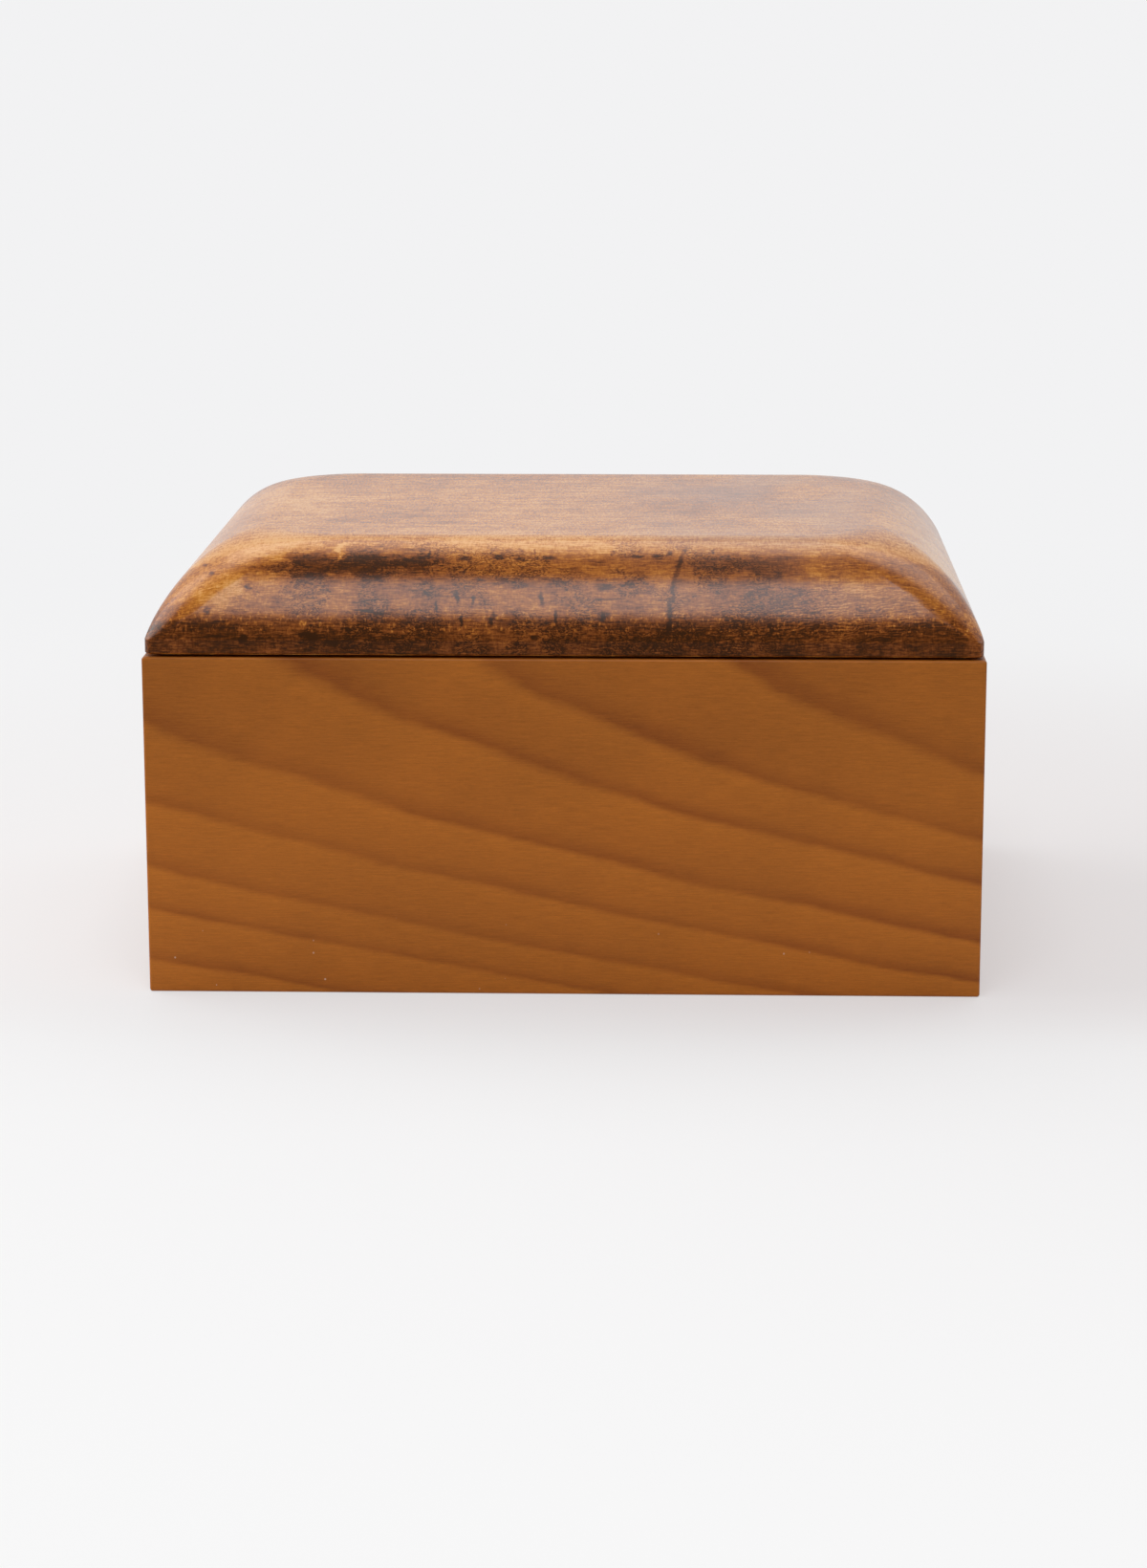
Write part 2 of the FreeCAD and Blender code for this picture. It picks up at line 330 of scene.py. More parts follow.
def plank_rings(lowest, highest):
    """Darkness across the plank's rings, for a wall that meets the levels between two values."""
    levels = [value for value in RING_LEVELS if lowest <= value <= highest]
    span = levels[-1] - levels[0]

    def rings(graph, level):
        stops = []
        for below, above in zip(levels, levels[1:]):
            start = (below - levels[0]) / span
            end = (above - levels[0]) / span
            stops.append((start + RING_LINE, grey(1.0)))
            stops.append((start + RING_MIDDLE[0] * (end - start), grey(RING_MIDDLE[1])))
            stops.append((end - RING_OUT, grey(0.0)))
        share = graph.maths("DIVIDE", graph.less(level, levels[0]), span)
        return graph.ramp(share, stops)

    return rings


def plain_rings(graph, level):
    """Darkness across evenly grown rings, with years of unlike width."""
    drift = graph.noise(graph.join(level, 0.0, 0.0), 0.045, detail=1.0)
    phase = graph.add(
        graph.maths("DIVIDE", level, PLAIN_RING_WIDTH),
        graph.times(drift, PLAIN_RING_DRIFT),
    )
    stops = [(0.0, grey(0.0)), (0.06, grey(1.0)), (0.35, grey(RING_MIDDLE[1])), (1.0, grey(0.0))]
    return graph.ramp(graph.maths("FRACT", phase), stops)


def board_wood(name, along, into, rings, tones):
    """Plain wood for one board, its fibres running along the board."""
    material, graph, shader = new_material(name)
    x, y, z = graph.split(millimetres(graph))
    run = along(graph, x, y)
    depth = into(graph, x, y)
    board = graph.join(run, depth, z)
    wander = graph.less(graph.grain(board, (1.0, 1.0, 2.2), 0.028), 0.5)
    ragged = graph.less(graph.grain(board, (0.5, 1.0, 2.0), 0.35, detail=3.0), 0.5)
    height = graph.less(z, RING_BEND_HEIGHT)
    level = graph.add(
        z,
        graph.times(run, RING_SLOPE),
        graph.times(height, height, -RING_BEND),
        graph.times(wander, RING_WANDER),
        graph.times(ragged, RING_RAGGED),
        graph.times(depth, RING_INWARD),
    )
    strength = graph.swing(graph.noise(board, 0.02), 0.55, 1.0)
    dark = graph.times(rings(graph, level), strength)
    tone = graph.ramp(dark, [(0.0, tones[0]), (RING_MIDDLE[1], tones[1]), (1.0, tones[2])])

    fibre = graph.grain(board, (0.2, 3.0, 4.6), 1.0, detail=4.0, roughness=0.7)
    fleck = graph.grain(board, (0.9, 5.0, 8.0), 1.0, roughness=0.6)
    speckle = graph.noise(board, 5.0, detail=1.0)
    patch = graph.noise(board, 0.035)
    brightness = graph.add(
        graph.step(fibre, 0.28, 0.72, -0.13, 0.13),
        graph.step(fleck, 0.25, 0.75, -0.08, 0.08),
        graph.step(speckle, 0.2, 0.8, -0.05, 0.05),
        graph.swing(patch, -0.06, 0.06),
        # Painted light at the foot and painted shade towards the rim
        graph.step(z, *WALL_PAINTED_LIGHT_AND_SHADE),
    )
    tone = graph.dimmed(tone, brightness)

    dots = graph.node("ShaderNodeTexVoronoi", {"Vector": board, "Scale": 0.4})
    lint = graph.times(
        graph.step(dots.outputs["Distance"], 0.05, 0.09, 1.0, 0.0),
        graph.step(graph.split(dots.outputs["Color"])[0], 0.7, 0.75),
        graph.step(z, 4.0, 16.0, 0.75, 0.0),
    )
    tone = graph.mix(lint, tone, LINT_TONE)

    graph.feed(shader.inputs["Base Color"], tone)
    graph.feed(shader.inputs["Roughness"], graph.swing(fibre, 0.46, 0.38))
    relief = graph.add(graph.times(fibre, 0.6), graph.times(fleck, 0.4))
    graph.feed(shader.inputs["Normal"], graph.bump(relief, 0.00006, 0.35))
    shader.inputs["Specular IOR Level"].default_value = 0.2
    return material


def add_body_wood():
    """The four walls: one plank, cut so that its grain goes round the box."""
    side_run = half_width_mm + half_depth_mm
    walls = {
        "front_wall": (lambda g, x, y: x, lambda g, x, y: g.add(y, half_depth_mm), (-31.0, 71.0)),
        "right_wall": (
            lambda g, x, y: g.add(y, side_run),
            lambda g, x, y: g.less(half_width_mm, x),
            (3.3, 117.0),
        ),
        "left_wall": (
            lambda g, x, y: g.times(g.add(y, side_run), -1.0),
            lambda g, x, y: g.add(x, half_width_mm),
            (-68.0, 39.4),
        ),
        "back_wall": (
            lambda g, x, y: g.less(side_run * 2.0, x),
            lambda g, x, y: g.less(half_depth_mm, y),
            (48.6, 163.0),
        ),
    }
    for name, (along, into, levels) in walls.items():
        dress(name, board_wood(name + "_wood", along, into, plank_rings(*levels), BODY_TONES))


def board_run(graph, x, y):
    """Hidden boards run across the box."""
    return x


def board_depth(graph, x, y):
    """Hidden boards lie flat, so that their width goes to the back."""
    return y


def add_hidden_wood():
    """The bottom panel and the splines, in paler wood of their own."""
    panel_wood = board_wood("panel_wood", board_run, board_depth, plain_rings, PANEL_TONES)
    spline_wood = board_wood("spline_wood", board_run, board_depth, plain_rings, SPLINE_TONES)
    dress("bottom_panel", panel_wood)
    for name in nodes:
        if name.endswith("_spline"):
            dress(name, spline_wood)


def dress(name, material):
    """Give a carried-over piece one material."""
    slots = nodes[name].data.materials
    slots.clear()
    slots.append(material)


# Lid figure, read as across and as climb: millimetres up and back from the lid's front foot.
# Its depth of colour is 0 for the palest of the tones and 1 for the darkest.
LID_FIGURE_DEPTH = 30.0
LID_TONES = [
    (0.0, srgb(218, 160, 92)),
    (0.2, srgb(200, 130, 52)),
    (0.4, srgb(168, 98, 34)),
    (0.6, srgb(134, 72, 28)),
    (0.8, srgb(94, 47, 10)),
    (1.0, srgb(58, 31, 8)),
]

# Mauve-grey painted into the lid's colour as sheen: the lamps and backdrop mirrored on its rounded edge
# and top
LID_PAINTED_SHEEN_TONE = srgb(150, 118, 106)
LID_DEPTH = 0.56
LID_CLOUD = 0.07
LID_DRIFT = 0.08
LID_DARKEST = 0.86
LID_UNDERSIDE = 0.42

# Smooth changes of depth with climb: from, to, change before, change after
LID_CLIMB_CHANGES = (
    (3.2, 4.4, 0.04, 0.0),
    (6.5, 9.0, 0.2, 0.0),
    # The top darkens again here, which leaves the shoulder below as a band of painted sheen
    (33.0, 46.0, 0.0, 0.15),
    (85.0, 120.0, 0.0, 0.09),
)

# The pale top starts at a wavering line: climb, waver and change of depth
# It is partly the top's own paler tone and partly painted sheen on the shoulder, up to climb 33 to 46
LID_TOP_START = (23.5, 31.0)
LID_TOP_WAVER = 3.0
LID_TOP_CHANGE = -0.4

# Paler band round the middle of the edge: climbs over which it comes and goes, change of depth
LID_BAND_FOOT = (8.0, 12.0)
LID_BAND_HEAD = (20.0, 25.0)
LID_BAND_CHANGE = -0.06

# Climbs over which the rounded edge's grain gives way to the top's
LID_TOP_TURN = (27.0, 36.0)

# Heights over the lid's foot at which its plain underside ends
LID_UNDER = (0.02, 0.2)

# Change of depth by each layer of grain
COARSE_CHANGE = 0.08
MOTTLE_CHANGE = 0.1
FIBRE_CHANGE = 0.15
FLECK_CHANGE = 0.12
LONG_GRAIN_CHANGE = 0.09
FINE_GRAIN_CHANGE = 0.1
CURL_CHANGE = 0.07
CURL_EXTRA_ON_TOP = 1.4
PORE_CHANGE = 0.1
# Lightening by the painted glints in the foot band of the edge
PAINTED_GLINT_CHANGE = -0.26

# Change of depth by each kind of mark
EDGE_CHANGE = 0.1
LINE_CHANGE = 0.4
MARK_CHANGE = 0.42
CRACK_CHANGE = 0.36
RIPPLE_CHANGE = 0.15

# Patches with at least this core and change are inked unevenly and have a dark edge
INKED_CORE = 0.5
INKED_CHANGE = 0.2
EDGE_LEVEL = 0.3

# Wavy lines along levels of a noise: level and how far off it they fade
LID_LINES = ((0.5, 0.03), (0.41, 0.026), (0.58, 0.026))
LINE_CORE = 0.006

# Crack: its place across, the climb that it bends from, its bend and its width
CRACK_ACROSS = 18.8
CRACK_FOOT = 4.0
CRACK_BEND = 0.0042
CRACK_WIDTH = (0.1, 0.75)

# Ripples: their spacing, their slant and how far the lines push them
RIPPLE_SPACING = 0.8
RIPPLE_SLANT = -0.22
RIPPLE_PUSH = 5.0

# Broad patches: place, half sizes, turn in degrees, change of depth of colour, sharpness of edge
LID_PATCHES = (
    ((-62.0, 20.0), (19.0, 15.0), 0.0, -0.14, 0.3),
    ((-73.0, 14.0), (8.0, 14.0), 0.0, 0.1, 0.3),
    ((-62.0, 14.5), (9.0, 7.0), -12.0, -0.12, 0.4),
    ((-53.0, 74.0), (13.0, 64.0), 2.0, -0.16, 0.1),
    ((-47.0, 25.8), (4.6, 2.4), -14.0, 0.26, 0.5),
    ((-45.5, 22.8), (5.2, 4.0), 20.0, 0.28, 0.5),
    ((-52.0, 21.5), (5.4, 2.8), 8.0, 0.2, 0.5),
    ((-37.0, 23.6), (6.4, 3.9), 6.0, 0.3, 0.55),
    ((-34.5, 20.8), (4.8, 3.6), -30.0, 0.16, 0.5),
    ((-29.0, 24.6), (7.2, 3.3), -2.0, 0.3, 0.55),
    ((-26.8, 22.6), (3.6, 3.4), 30.0, 0.2, 0.5),
    ((-31.5, 28.4), (9.4, 3.4), 0.0, 0.16, 0.5),
    ((-44.2, 28.5), (2.4, 4.0), -14.0, 0.16, 0.5),
    ((-40.6, 29.0), (1.3, 4.6), -8.0, -0.36, 0.5),
    ((-30.0, 9.4), (9.0, 1.8), -3.0, 0.08, 0.4),
    ((-42.0, 6.6), (9.0, 2.4), 0.0, -0.08, 0.4),
    ((-12.0, 23.4), (13.0, 2.6), 0.0, -0.1, 0.4),
    ((-8.0, 18.2), (16.0, 2.2), 0.0, 0.14, 0.3),
    ((37.5, 23.0), (5.4, 4.6), -16.0, 0.18, 0.6),
    ((29.0, 24.0), (9.0, 4.4), 0.0, 0.12, 0.4),
    ((33.0, 17.6), (8.6, 4.4), 10.0, 0.05, 0.4),
    ((14.0, 24.6), (15.0, 3.8), 0.0, 0.1, 0.4),
    ((30.0, 11.0), (12.0, 4.5), 10.0, 0.04, 0.3),
    ((52.5, 23.6), (5.6, 2.6), -10.0, 0.1, 0.3),
    ((62.0, 4.8), (9.5, 3.2), 4.0, 0.32, 0.5),
    ((74.0, 6.0), (4.5, 9.0), 0.0, -0.24, 0.4),
    ((54.0, 16.0), (13.0, 8.0), 0.0, -0.1, 0.3),
    ((66.0, 2.0), (10.0, 3.0), 0.0, 0.12, 0.3),
    ((-58.0, 2.6), (11.0, 4.0), 0.0, 0.12, 0.3),
    ((-54.0, 12.0), (9.0, 5.0), 0.0, 0.08, 0.3),
    ((-3.0, 13.0), (9.0, 7.0), 0.0, 0.07, 0.3),
    ((45.5, 21.0), (3.4, 5.0), 16.0, -0.14, 0.4),
    ((-66.0, 4.6), (9.5, 3.0), -3.0, 0.32, 0.5),
    # Painted light: the right end of the lid made paler, for the light and sheen on its rounded side
    ((68.0, 68.0), (13.0, 60.0), 0.0, -0.18, 0.1),
    ((-40.0, 14.0), (12.0, 6.0), 0.0, -0.07, 0.3),
    ((28.0, 88.0), (24.0, 42.0), 0.0, 0.1, 0.3),
)

# Small dark marks: place, half sizes, turn in degrees
LID_MARKS = (
    ((8.6, 28.2), (0.5, 1.9), 0.0),
    ((26.7, 29.0), (0.45, 1.8), -6.0),
    ((18.8, 28.2), (0.7, 1.6), -20.0),
    ((13.0, 27.0), (2.4, 0.8), 12.0),
    ((16.4, 27.1), (1.3, 0.9), 0.0),
    ((-11.5, 26.4), (1.8, 1.2), 0.0),
    ((-17.8, 26.0), (1.6, 1.2), 25.0),
    ((-8.0, 25.6), (1.6, 0.8), -20.0),
    ((-2.8, 26.4), (1.8, 1.1), 0.0),
    ((-5.4, 28.4), (0.35, 2.2), 6.0),
    ((-24.3, 27.4), (0.4, 2.6), 2.0),
    ((-17.4, 22.2), (0.35, 2.2), -24.0),
    ((-19.0, 13.6), (0.6, 3.0), 9.0),
    ((-16.0, 12.8), (0.5, 2.2), -4.0),
    ((-12.5, 8.0), (0.8, 3.2), -10.0),
    ((-18.0, 7.4), (0.5, 2.4), 5.0),
    ((-22.5, 11.0), (0.4, 2.6), -3.0),
    ((-24.5, 14.4), (0.5, 1.6), 20.0),
    ((-3.8, 13.4), (0.7, 3.0), 4.0),
    ((-1.2, 8.4), (0.5, 2.6), 0.0),
    ((-34.0, 9.6), (4.2, 0.7), -8.0),
    ((-35.5, 12.4), (3.6, 0.4), 12.0),
    ((-56.2, 16.2), (0.8, 1.4), 40.0),
    ((-63.4, 21.6), (0.8, 1.2), 10.0),
    ((-63.5, 9.6), (0.7, 1.8), 4.0),
    ((-38.5, 5.2), (1.3, 0.9), 0.0),
    ((-45.0, 3.6), (2.6, 1.1), -12.0),
    ((-41.0, 2.2), (2.0, 0.6), -4.0),
    ((-57.0, 3.0), (1.4, 0.9), 30.0),
    ((-5.0, 3.4), (1.0, 0.8), 0.0),
    ((36.8, 5.6), (0.5, 2.0), 0.0),
    ((7.2, 8.6), (1.4, 2.0), 0.0),
    ((8.0, 13.2), (4.0, 0.4), 0.0),
    ((7.0, 16.6), (2.6, 1.8), -10.0),
    ((11.5, 17.6), (2.0, 0.8), 20.0),
    ((-64.9, 26.4), (0.5, 1.1), 30.0),
)


def shaken(graph, place, scale, amount):
    """Place pushed about by noise, so that shapes read from it get ragged edges."""
    push = graph.noise(place, scale, detail=3.0, roughness=0.6, colour=True)
    middle = (0.5, 0.5, 0.5)
    for inputs, operation in (
        ({1: middle}, "SUBTRACT"),
        ({"Scale": amount}, "SCALE"),
        ({1: place}, "ADD"),
    ):
        push = graph.node("ShaderNodeVectorMath", {0: push, **inputs}, operation=operation).outputs[0]
    return push


class LidField:
    """Places on the lid, in millimetres, and the noises that several of its layers share."""

    def __init__(self, graph):
        self.place = millimetres(graph)
        self.x, y, z = graph.split(self.place)
        self.climb = graph.add(y, z, -lid_front_mm - lid_foot_mm)
        behind = graph.less(y, graph.add(z, lid_front_mm - lid_foot_mm))
        self.flat = graph.join(self.x, self.climb, behind)
        self.frayed = shaken(graph, self.flat, 0.6, 1.6)
        height = graph.less(z, lid_foot_mm)
        self.under = graph.step(height, *LID_UNDER, 1.0, 0.0)
        self.above = graph.less(1.0, self.under)
        self.on_top = graph.step(self.climb, *LID_TOP_TURN)
        self.cloud = graph.noise(self.place, 0.035)
        self.drift = graph.grain(self.place, (1.3, 1.0, 1.0), 0.13, detail=3.0, roughness=0.6)
        self.coarse = graph.grain(self.place, (0.5, 1.0, 1.0), 0.8, detail=3.0, roughness=0.65)
        self.fibre = graph.grain(self.place, (0.3, 3.6, 3.6), 1.0, detail=3.0, roughness=0.7)
        self.contour = graph.grain(self.flat, (0.8, 1.2, 0.4), 0.3, detail=5.0, roughness=0.6)


def lid_ground(graph, lid):
    """Depth of colour with nothing but its broad changes."""
    depth = graph.add(
        LID_DEPTH,
        graph.swing(lid.cloud, -LID_CLOUD, LID_CLOUD),
        graph.swing(lid.drift, -LID_DRIFT, LID_DRIFT),
    )
    for low, high, before, after in LID_CLIMB_CHANGES:
        depth = graph.add(depth, graph.step(lid.climb, low, high, before, after))
    wavering = graph.add(lid.climb, graph.swing(lid.drift, -LID_TOP_WAVER, LID_TOP_WAVER))
    band = graph.times(
        graph.step(lid.climb, *LID_BAND_FOOT),
        graph.step(lid.climb, *LID_BAND_HEAD, 1.0, 0.0),
    )
    return graph.add(
        depth,
        # Paler top: partly the wood's own tone, partly painted sheen on the shoulder
        graph.step(wavering, *LID_TOP_START, 0.0, LID_TOP_CHANGE),
        graph.times(band, LID_BAND_CHANGE),
    )


def lid_patches(graph, lid, depth):
    """Depth of colour with the patches added, and evened out on the lid's underside."""
    figure = shaken(graph, shaken(graph, lid.flat, 0.17, 8.0), 0.7, 3.0)
    ink = graph.grain(lid.place, (0.8, 1.0, 1.0), 0.5, detail=3.0, roughness=0.65)
    ink = graph.swing(ink, 0.65, 1.25)
    edges = 0.0
    for centre, reach, turn, change, core in LID_PATCHES:
        patch = graph.spot(figure, centre, reach, turn, core)
        if core >= INKED_CORE and change > INKED_CHANGE:
            off = graph.maths("ABSOLUTE", graph.less(patch, EDGE_LEVEL))
            edges = graph.maths("MAXIMUM", edges, graph.step(off, 0.0, EDGE_LEVEL, 1.0, 0.0))
            patch = graph.times(patch, ink)
        depth = graph.add(depth, graph.times(patch, change))
    depth = graph.maths("MINIMUM", graph.add(depth, graph.times(edges, EDGE_CHANGE)), LID_DARKEST)
    underside = graph.add(
        LID_UNDERSIDE,
        graph.swing(lid.cloud, -0.1, 0.1),
        graph.swing(lid.drift, -0.05, 0.05),
    )
    return graph.add(depth, graph.times(lid.under, graph.less(underside, depth)))


def lid_grain(graph, lid, depth):
    """Depth of colour with the grain, gritty on the rounded edges and combed on top and underneath, and
    with painted glints low on the edge.
    """
    mottle = graph.grain(lid.place, (0.45, 1.3, 1.3), 2.4, detail=3.0, roughness=0.75)
    fleck = graph.grain(lid.place, (1.0, 1.6, 1.6), 1.5, (7.0, 3.0, 1.0))
    grit = graph.add(
        graph.step(lid.coarse, 0.25, 0.75, COARSE_CHANGE, -COARSE_CHANGE),
        graph.swing(mottle, MOTTLE_CHANGE, -MOTTLE_CHANGE),
        graph.swing(lid.fibre, FIBRE_CHANGE, -FIBRE_CHANGE),
        graph.step(fleck, 0.6, 0.7, 0.0, FLECK_CHANGE),
    )
    long_grain = graph.grain(
        lid.place, (0.05, 0.8, 0.8), 1.0, detail=4.0, roughness=0.6, distortion=0.3
    )
    combed = graph.add(
        graph.swing(long_grain, LONG_GRAIN_CHANGE, -LONG_GRAIN_CHANGE),
        graph.swing(lid.fibre, FINE_GRAIN_CHANGE, -FINE_GRAIN_CHANGE),
    )
    curl = graph.grain(lid.flat, (2.6, 0.5, 0.3), 1.0, detail=3.0, roughness=0.7)
    curled = graph.swing(curl, CURL_CHANGE, -CURL_CHANGE)
    pore = graph.grain(lid.place, (0.35, 3.0, 3.0), 1.2, (0.0, 5.0, 9.0), detail=1.0)
    # Painted glints: lighter golden flecks painted into the dark foot band, for light caught by the
    # fibres
    painted_glint = graph.grain(lid.flat, (1.9, 0.7, 0.4), 1.0, (3.0, 9.0, 0.0))
    painted_glints = graph.times(
        graph.step(painted_glint, 0.56, 0.66),
        graph.step(lid.climb, 3.6, 5.0),
        graph.step(lid.climb, 8.0, 12.0, 1.0, 0.0),
        lid.above,
    )
    return graph.add(
        depth,
        graph.times(grit, graph.step(lid.climb, *LID_TOP_TURN, 1.0, 0.5)),
        graph.times(combed, graph.maths("MAXIMUM", lid.on_top, lid.under)),
        curled,
        graph.times(curled, lid.on_top, CURL_EXTRA_ON_TOP),
        graph.step(pore, 0.66, 0.74, 0.0, PORE_CHANGE),
        graph.times(painted_glints, PAINTED_GLINT_CHANGE),
    )


def lid_marks(graph, lid, depth):
    """Depth of colour with the wavy lines, the small marks, the crack and the ripples."""
    lines = 0.0
    for level, faded in LID_LINES:
        off = graph.maths("ABSOLUTE", graph.less(lid.contour, level))
        lines = graph.maths("MAXIMUM", lines, graph.step(off, LINE_CORE, faded, 1.0, 0.0))
    lined = graph.times(
        graph.step(graph.noise(lid.place, 0.16, detail=1.0), 0.42, 0.56),
        graph.spot(lid.flat, (-4.0, 15.0), (66.0, 26.0), core=0.6),
        lid.above,
    )

    marks = 0.0
    for centre, reach, turn in LID_MARKS:
        marks = graph.add(marks, graph.spot(lid.frayed, centre, reach, turn, core=0.3))
    marks = graph.maths("MINIMUM", marks, 1.0)

    across, climb, unused = graph.split(lid.frayed)
    bend = graph.times(graph.maths("POWER", graph.less(climb, CRACK_FOOT), 2.0), CRACK_BEND)
    off = graph.maths("ABSOLUTE", graph.less(across, graph.add(bend, CRACK_ACROSS)))
    crack = graph.times(
        graph.step(off, *CRACK_WIDTH, 1.0, 0.0),
        graph.step(lid.climb, 3.5, 5.5),
        graph.step(lid.climb, 29.0, 31.0, 1.0, 0.0),
        lid.above,
    )

    run = graph.add(
        lid.climb,
        graph.times(lid.x, RIPPLE_SLANT),
        graph.times(lid.contour, RIPPLE_PUSH),
    )
    ripple = graph.maths("SINE", graph.times(run, math.tau / RIPPLE_SPACING))
    rippled = graph.spot(lid.flat, (46.0, 10.0), (30.0, 11.0))
    return graph.add(
        depth,
        graph.times(lines, lined, LINE_CHANGE),
        graph.times(marks, lid.above, MARK_CHANGE),
        graph.times(crack, CRACK_CHANGE),
        graph.times(ripple, rippled, RIPPLE_CHANGE),
    )


def lid_wood():
    """Figured wood: gold and red-brown, with dark clouds, wavy lines and fine ripples, and painted
    sheen.
    """
    material, graph, shader = new_material("figured_wood")
    lid = LidField(graph)
    depth = lid_patches(graph, lid, lid_ground(graph, lid))
    depth = lid_marks(graph, lid, lid_grain(graph, lid, depth))
    patchy = graph.grain(lid.place, (1.0, 0.6, 1.0), 0.06, (40.0, 0.0, 0.0))
    # Painted sheen: mauve-grey mixed into the colour over the middle of the rounded edge, and more over
    # the top
    painted_sheen = graph.times(
        graph.step(patchy, 0.35, 0.65, 0.1, 0.4),
        graph.step(lid.x, -14.0, 36.0),
        graph.step(lid.x, 50.0, 66.0, 1.0, 0.3),
        graph.step(lid.climb, 26.0, 36.0, 0.35, 1.0),
        graph.step(lid.climb, 6.0, 12.0),
        lid.above,
    )
    tone = graph.mix(painted_sheen, graph.ramp(depth, LID_TONES), LID_PAINTED_SHEEN_TONE)
    graph.feed(shader.inputs["Base Color"], tone)
    graph.feed(shader.inputs["Roughness"], graph.swing(lid.coarse, 0.22, 0.18))
    relief = graph.add(graph.times(lid.coarse, 0.6), graph.times(lid.fibre, 0.4))
    graph.feed(shader.inputs["Normal"], graph.bump(relief, 0.00003, 0.6))
    shader.inputs["IOR"].default_value = 1.35
    return material


# Tones of the brass, bright and tarnished, and of the velvet and the felt, low and high
BRASS_TONES = (srgb(214, 172, 92), srgb(176, 130, 62))
VELVET_TONES = (srgb(52, 72, 52), srgb(60, 82, 58))
VELVET_SHEEN = srgb(150, 182, 148)
FELT_TONES = (srgb(66, 52, 44), srgb(104, 86, 72))


def plain_brass():
    """Satin brass with faint brushing and tarnish."""
    material, graph, shader = new_material("satin_brass")
    place = millimetres(graph)
    brushed = graph.grain(place, (0.6, 6.0, 6.0), 1.0, detail=3.0)
    tarnish = graph.step(graph.noise(place, 0.35, detail=3.0), 0.4, 0.7)
    graph.feed(shader.inputs["Base Color"], graph.mix(tarnish, *BRASS_TONES))
    graph.feed(shader.inputs["Roughness"], graph.step(brushed, 0.2, 0.8, 0.36, 0.48))
    graph.feed(shader.inputs["Normal"], graph.bump(brushed, 0.00002, 0.3))
    shader.inputs["Metallic"].default_value = 1.0
    return material


def velvet():
    """Short dark green pile with brushed patches and a pale edge sheen."""
    material, graph, shader = new_material("green_velvet")
    place = millimetres(graph)
    nap = graph.grain(place, (0.4, 1.0, 1.0), 0.06)
    pile = graph.noise(place, 4.5, roughness=0.7)
    tone = graph.mix(graph.swing(nap), *VELVET_TONES)
    graph.feed(shader.inputs["Base Color"], graph.dimmed(tone, graph.swing(pile, 0.72, 1.15)))
    graph.feed(shader.inputs["Roughness"], graph.swing(nap, 0.85, 0.95))
    graph.feed(shader.inputs["Normal"], graph.bump(pile, 0.0001, 0.7))
    shader.inputs["Specular IOR Level"].default_value = 0.1
    shader.inputs["Sheen Weight"].default_value = 0.45
    shader.inputs["Sheen Roughness"].default_value = 0.35
    shader.inputs["Sheen Tint"].default_value = VELVET_SHEEN
    return material


def felt():
    """Dark brown pressed wool with loose fibres."""
    material, graph, shader = new_material("brown_felt")
    wool = graph.noise(millimetres(graph), 3.2, detail=3.0, roughness=0.7, distortion=1.5)
    graph.feed(shader.inputs["Base Color"], graph.mix(graph.swing(wool), *FELT_TONES))
    graph.feed(shader.inputs["Roughness"], graph.swing(wool, 0.9, 0.97))
    graph.feed(shader.inputs["Normal"], graph.bump(wool, 0.00006, 0.8))
    shader.inputs["Specular IOR Level"].default_value = 0.1
    return material


def new_piece(name, points, faces, material, body, node):
    """Smooth mesh piece that rides on a body and stands for a CAD node."""
    mesh = bpy.data.meshes.new(name)
    mesh.from_pydata([tuple(value * MM for value in point) for point in points], [], faces)
    shape = bmesh.new()
    shape.from_mesh(mesh)
    bmesh.ops.recalc_face_normals(shape, faces=shape.faces)
    for face in shape.faces:
        face.smooth = True
    shape.to_mesh(mesh)
    shape.free()
    mesh.materials.append(material)
    piece = bpy.data.objects.new(name, mesh)
    bpy.context.scene.collection.objects.link(piece)
    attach(piece, body)
    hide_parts(node)
    return piece


# Velvet pad, in millimetres
PAD_CELL = 2.0
PAD_EDGE_STEPS = (0.0, 0.12, 0.35, 0.7, 1.2, 2.0, 3.2)
PAD_EDGE_ROUND = 1.2
PAD_CORNER = 1.5
PAD_DRAW_IN = 0.35
PAD_CROWN = 0.35
PAD_RIPPLE = 0.12
PAD_RIPPLE_SCALE = 0.07
PAD_RIPPLE_EDGE = 4.0

# Turned-in foot of the pad: inset and height over the panel, from its edge inwards
PAD_FOOT = ((0.0, 0.45), (0.1, 0.15), (0.45, 0.02))


def pad_stations(half):
    """Places across the pad, closer together towards its edges."""
    inner = half - PAD_EDGE_STEPS[-1]
    count = round(2.0 * inner / PAD_CELL)
    middle = [-inner + 2.0 * inner * number / count for number in range(count + 1)]
    edge = [half - step for step in PAD_EDGE_STEPS[:-1]]
    return [-value for value in edge] + middle + edge[::-1]


